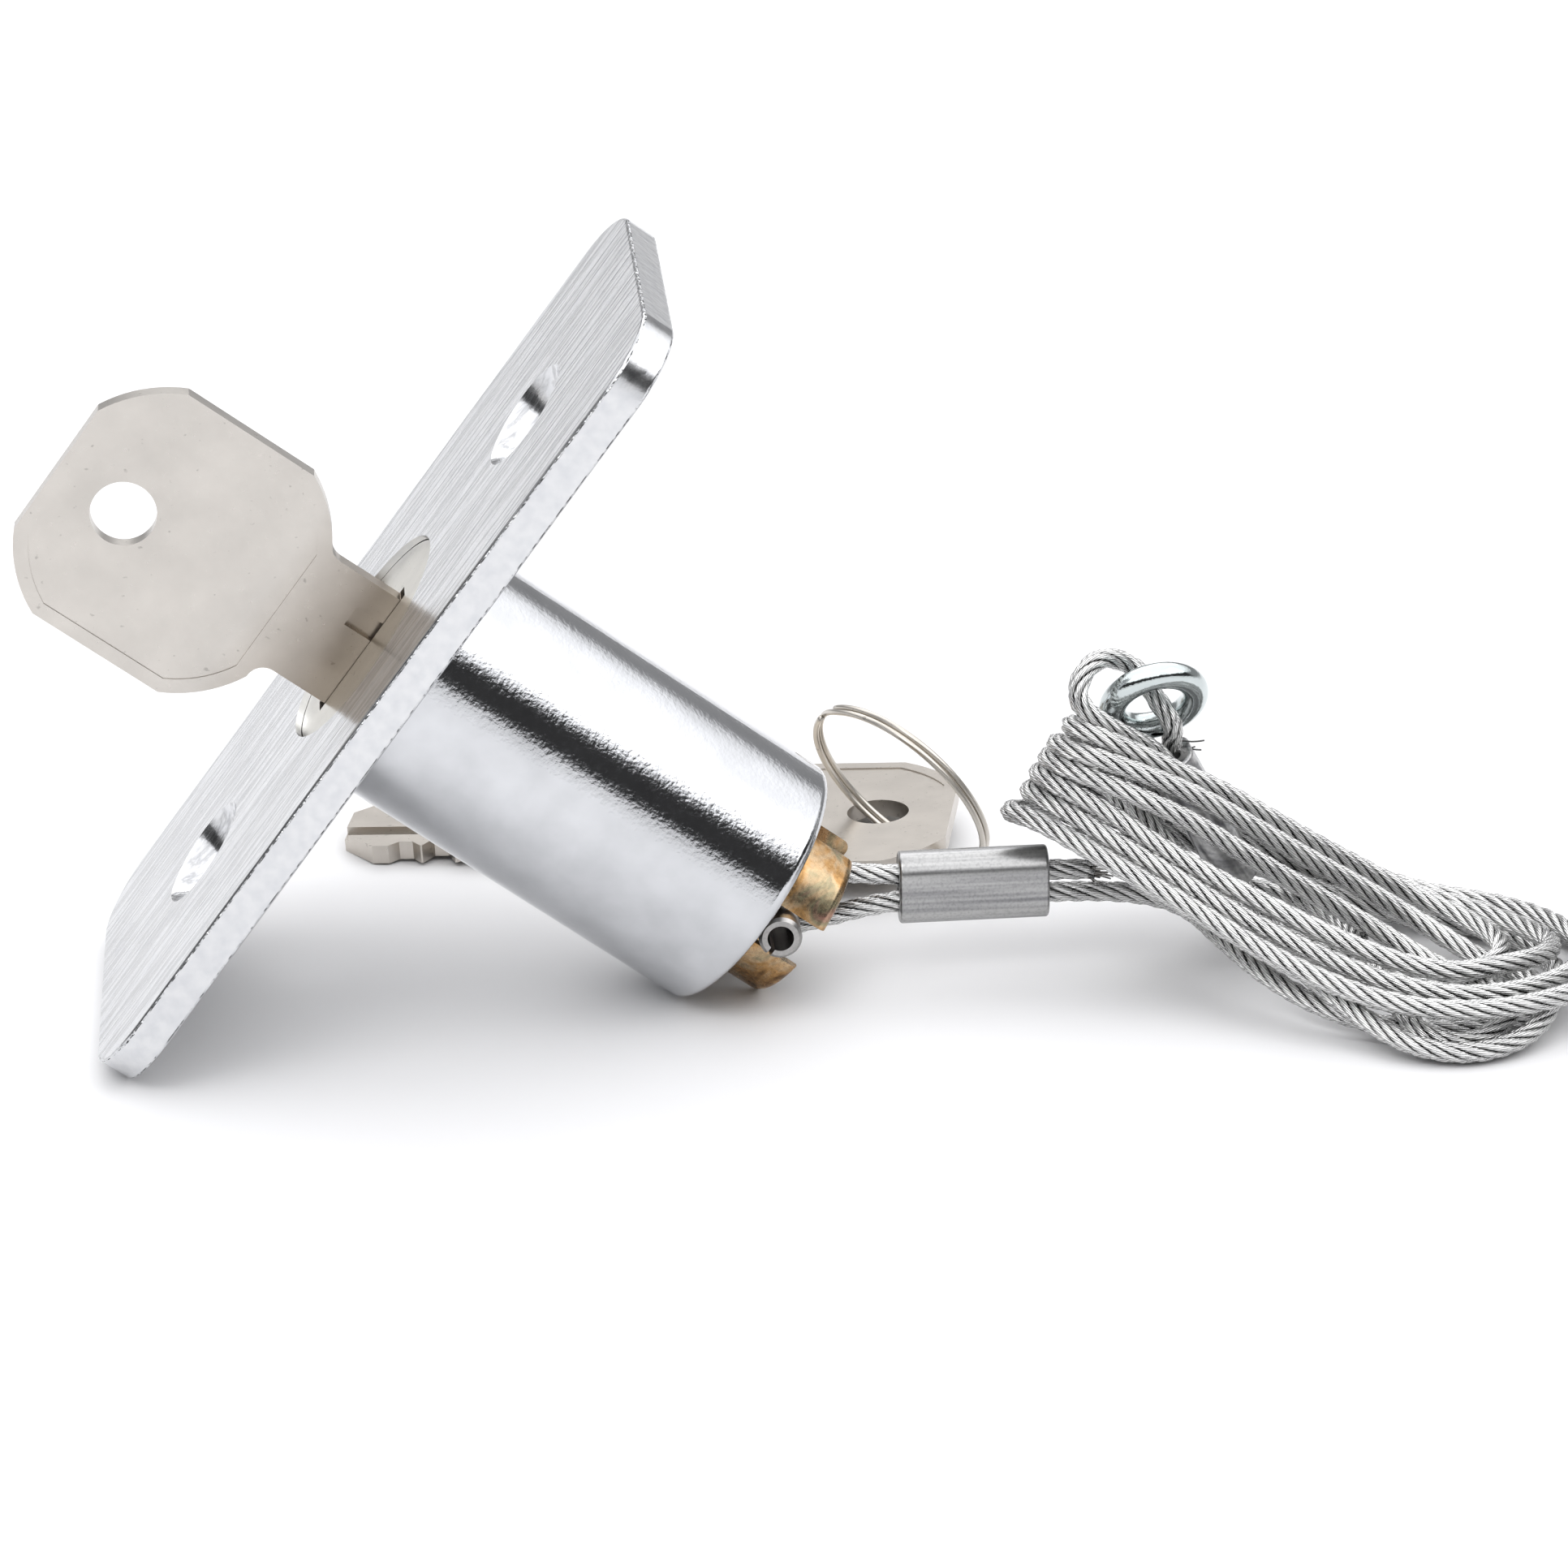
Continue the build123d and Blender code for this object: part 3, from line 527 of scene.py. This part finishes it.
def make_rope(line):
    """Six strands laid round a core, as one mesh with a UV map that follows each strand."""
    centres, reach = even_line(line, RING_SPACING)
    along, side, other = carried_frames(centres)
    points = [tube_rings(centres, side, other, CORE_R, CORE_CORNERS).reshape(-1, 3)]
    faces = tube_faces(len(centres), CORE_CORNERS, 0)
    count = len(centres) * CORE_CORNERS
    strand_start = len(faces)
    for strand in range(STRANDS):
        angle = 2 * math.pi * (strand / STRANDS + reach / ROPE_LAY)
        outward = side * np.cos(angle)[:, None] + other * np.sin(angle)[:, None]
        middle = centres + outward * STRAND_PLACE
        run = np.gradient(middle, axis=0)
        run /= np.linalg.norm(run, axis=1)[:, None]
        cross = np.cross(run, outward)
        cross /= np.linalg.norm(cross, axis=1)[:, None]
        points.append(tube_rings(middle, outward, cross, STRAND_R, STRAND_CORNERS).reshape(-1, 3))
        faces += tube_faces(len(centres), STRAND_CORNERS, count)
        count += len(centres) * STRAND_CORNERS
    rope = new_mesh("cable_rope", np.concatenate(points), faces)
    uv = rope.data.uv_layers.new(name="strand")
    values = []
    for number, face in enumerate(faces):
        if len(face) != 4:
            values += [(0.0, 0.0)] * len(face)
            continue
        in_strand = number >= strand_start
        corners = STRAND_CORNERS if in_strand else CORE_CORNERS
        base = len(centres) * CORE_CORNERS if in_strand else 0
        for place, point in enumerate(face):
            ring, corner = divmod((point - base), corners)
            ring %= len(centres)
            if place in (1, 2) and corner == 0:
                corner = corners
            values.append((corner / corners, reach[ring] / MM))
    uv.data.foreach_set("uv", [number for pair in values for number in pair])
    return rope


route = nurbs_line([row(*point) for point in route_points])
rope = make_rope(route)
rope.data.materials.append(rope_finish)
rope.data.shade_smooth()
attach(rope, "cylinder")
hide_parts("cable_lead", "cable_coil", "cable_end_eye")

# ---------------------------------------------------------------- loose wires

FRAY_R = 0.1 * MM
FRAY_CORNERS = 6
FRAY_SPACING = 0.35 * MM


def wire_mesh(name, lines, spacing, radius, corners):
    """Round wires along lines of points in metres, as one smooth mesh."""
    points, faces, count = [], [], 0
    for line in lines:
        centres, _ = even_line(line, spacing)
        _, side, other = carried_frames(centres)
        points.append(tube_rings(centres, side, other, radius, corners).reshape(-1, 3))
        faces += tube_faces(len(centres), corners, count)
        count += len(centres) * corners
    wires = new_mesh(name, np.concatenate(points), faces)
    wires.data.shade_smooth()
    return wires


def frayed_wires(name, curves, finish):
    """Loose wires of the rope, each smooth along its control points."""
    lines = [nurbs_line(curve) for curve in curves]
    wires = wire_mesh(name, lines, FRAY_SPACING, FRAY_R, FRAY_CORNERS)
    wires.data.materials.append(finish)
    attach(wires, "cylinder")
    return wires


STUB_WIRES = 30
STUB_START = (75.2, 11.3)  # the cut end's middle, X and Z in mm
STUB_DROOP = 0.06  # mm down for each mm out
STUB_SEED = 7


def stub_curves():
    """Wires that splay out of the rope's cut end, beside the first ferrule."""
    draw = random.Random(STUB_SEED)
    start_x, start_z = STUB_START
    curves = []
    for wire in range(STUB_WIRES):
        angle = 2 * math.pi * wire / STUB_WIRES + draw.uniform(-0.2, 0.2)
        start = draw.uniform(0.2, 1.0)
        flare = start + draw.uniform(0.0, 0.9)
        reach = draw.uniform(0.8, 3.2)
        curve = []
        for part, out in ((0, start), (0.5, start), (1.0, flare)):
            along = reach * part
            height = start_z + out * math.sin(angle) - STUB_DROOP * along
            curve.append(row(start_x + along, out * math.cos(angle), height))
        curves.append(curve)
    return curves


fray = frayed_wires("stub_wires", stub_curves(), fray_finish)

mouth_curves = [
    [row(84.9, 3.6, 23.2), row(86.0, 3.4, 24.9), row(87.6, 3.0, 24.6), row(88.9, 2.7, 24.9)],
    [row(84.9, 2.6, 23.2), row(86.2, 2.5, 24.6), row(87.4, 2.6, 23.9), row(88.5, 2.2, 24.0)],
    [row(85.1, 3.9, 23.0), row(86.4, 3.7, 24.1), row(87.2, 3.6, 23.5), row(88.0, 3.5, 23.9)],
]
mouth_wires = frayed_wires("ferrule_mouth_wires", mouth_curves, rope_finish)

# ---------------------------------------------------------------- split ring

RING_MIDDLE = row(57.3, 26.4, 11.4)
RING_NORMAL = Vector((0.667, 0.563, 0.485)).normalized()
RING_R = 12.0 * MM
RING_WIRE_R = 0.36 * MM
RING_PITCH = 0.78 * MM  # the distance between its two turns
RING_TURNS = 1.96
RING_START = 2.3  # radians round the ring to the wire's first end
RING_STEP_AT = 0.93  # turns before the wire steps across, and how long that takes
RING_STEP_TURNS = 0.1
RING_POINTS = 220
RING_CORNERS = 12
RING_WIRE_SPACING = 0.7 * MM


def split_ring_line():
    """Two close turns of spring wire, which step from one side to the other in a short stretch."""
    across = RING_NORMAL.cross(Vector((0, 0, 1))).normalized()
    up = across.cross(RING_NORMAL)
    points = []
    for number in range(RING_POINTS + 1):
        turned = RING_TURNS * number / RING_POINTS
        crossing = min(max((turned - RING_STEP_AT) / RING_STEP_TURNS, 0.0), 1.0)
        side = (crossing * crossing * (3 - 2 * crossing) - 0.5) * RING_PITCH
        angle = RING_START + 2 * math.pi * turned
        spread = across * math.cos(angle) + up * math.sin(angle)
        points.append(RING_MIDDLE + spread * RING_R + RING_NORMAL * side)
    return points


ring_wire = wire_mesh(
    "split_ring_wire", [split_ring_line()], RING_WIRE_SPACING, RING_WIRE_R, RING_CORNERS
)
ring_wire.data.materials.append(split_finish)
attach(ring_wire, "key_ring")
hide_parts("split_ring")

# ---------------------------------------------------------------- floor, lights and camera

FLOOR_R = 3.0
FLOOR_CORNERS = 64
STUDIO_STRENGTH = 1.7
STUDIO_BLUE = 1.015  # blue against red and green
SIDE_BLEND = 0.15  # how far from Y = 0 the two sides of the studio meet
NEAR_SIDE = ((0.0, 0.6), (0.09, 0.55), (0.12, 0.025), (0.43, 0.025), (0.46, 1.0))
FAR_SIDE = ((0.0, 0.55), (0.10, 0.2), (0.36, 0.2), (0.46, 0.7), (0.6, 1.0))
LIGHTS = (  # name, place, target, width, height, watts
    ("key_light", (-0.35, -0.45, 0.75), (0.0, 0.0, 0.02), 0.5, 0.35, 1.6),
    ("fill_light", (0.55, -0.25, 0.6), (0.03, 0.0, 0.02), 0.45, 0.4, 0.8),
    ("back_light", (0.1, 0.6, 0.55), (0.0, 0.0, 0.02), 0.7, 0.3, 0.8),
)


def make_floor():
    """A pale matt disc on the table's level."""
    mesh = bmesh.new()
    bmesh.ops.create_circle(mesh, cap_ends=True, radius=FLOOR_R, segments=FLOOR_CORNERS)
    data = bpy.data.meshes.new("floor")
    mesh.to_mesh(data)
    mesh.free()
    floor = bpy.data.objects.new("floor", data)
    scene.collection.objects.link(floor)
    finish = Finish("floor_finish", (0.74, 0.74, 0.745), 0.0, 0.6)
    grain = finish.noise((0.05, 0.05, 0.05), 3.0)
    finish.colour(finish.ramp(grain, (0.3, (0.735, 0.735, 0.74)), (0.7, (0.745, 0.745, 0.75))))
    floor.data.materials.append(finish.material)


def area_light(name, place, target, width, height, power):
    """A rectangular lamp that points at its target."""
    light = bpy.data.lights.new(name, "AREA")
    light.shape = "RECTANGLE"
    light.size = width
    light.size_y = height
    light.energy = power
    lamp = bpy.data.objects.new(name, light)
    lamp.location = place
    lamp.rotation_euler = (Vector(target) - Vector(place)).to_track_quat("-Z", "Y").to_euler()
    scene.collection.objects.link(lamp)


def make_world():
    """A bright studio, dark low down behind the camera and grey low down opposite it."""
    world = bpy.data.worlds.new("studio")
    scene.world = world
    world.use_nodes = True
    tree = world.node_tree
    coordinates = tree.nodes.new("ShaderNodeTexCoord")
    split = tree.nodes.new("ShaderNodeSeparateXYZ")
    tree.links.new(coordinates.outputs["Generated"], split.inputs["Vector"])
    sides = []
    for stops in (NEAR_SIDE, FAR_SIDE):
        tinted = [(height, (shade, shade, shade * STUDIO_BLUE)) for height, shade in stops]
        sides.append(add_ramp(tree, split.outputs["Z"], tinted))
    blend = tree.nodes.new("ShaderNodeMapRange")
    blend.inputs["From Min"].default_value = -SIDE_BLEND
    blend.inputs["From Max"].default_value = SIDE_BLEND
    tree.links.new(split.outputs["Y"], blend.inputs["Value"])
    mix = tree.nodes.new("ShaderNodeMix")
    mix.data_type = "RGBA"
    tree.links.new(blend.outputs["Result"], mix.inputs["Factor"])
    tree.links.new(sides[0], mix.inputs["A"])
    tree.links.new(sides[1], mix.inputs["B"])
    back = tree.nodes["Background"]
    tree.links.new(mix.outputs["Result"], back.inputs["Color"])
    back.inputs["Strength"].default_value = STUDIO_STRENGTH


make_floor()
make_world()
for light in LIGHTS:
    area_light(*light)

LENS_MM = 140
SENSOR_MM = 36
CLIP_END = 10
CAMERA_PLACE = Vector((-0.014015, -0.63167, 0.27666))
camera_right = Vector((0.9969, -0.0765, -0.0195))
camera_back = Vector((-0.0634, -0.9232, 0.3791)).normalized()
camera_right = (camera_right - camera_back * camera_right.dot(camera_back)).normalized()
camera_up = camera_back.cross(camera_right)

camera_data = bpy.data.cameras.new("camera")
camera_data.lens = LENS_MM
camera_data.sensor_width = SENSOR_MM
camera_data.clip_end = CLIP_END
camera = bpy.data.objects.new("camera", camera_data)
camera.matrix_world = Matrix.Translation(CAMERA_PLACE) @ Matrix(
    (camera_right, camera_up, camera_back)
).transposed().to_4x4()
scene.collection.objects.link(camera)
scene.camera = camera
scene.view_settings.view_transform = "Standard"
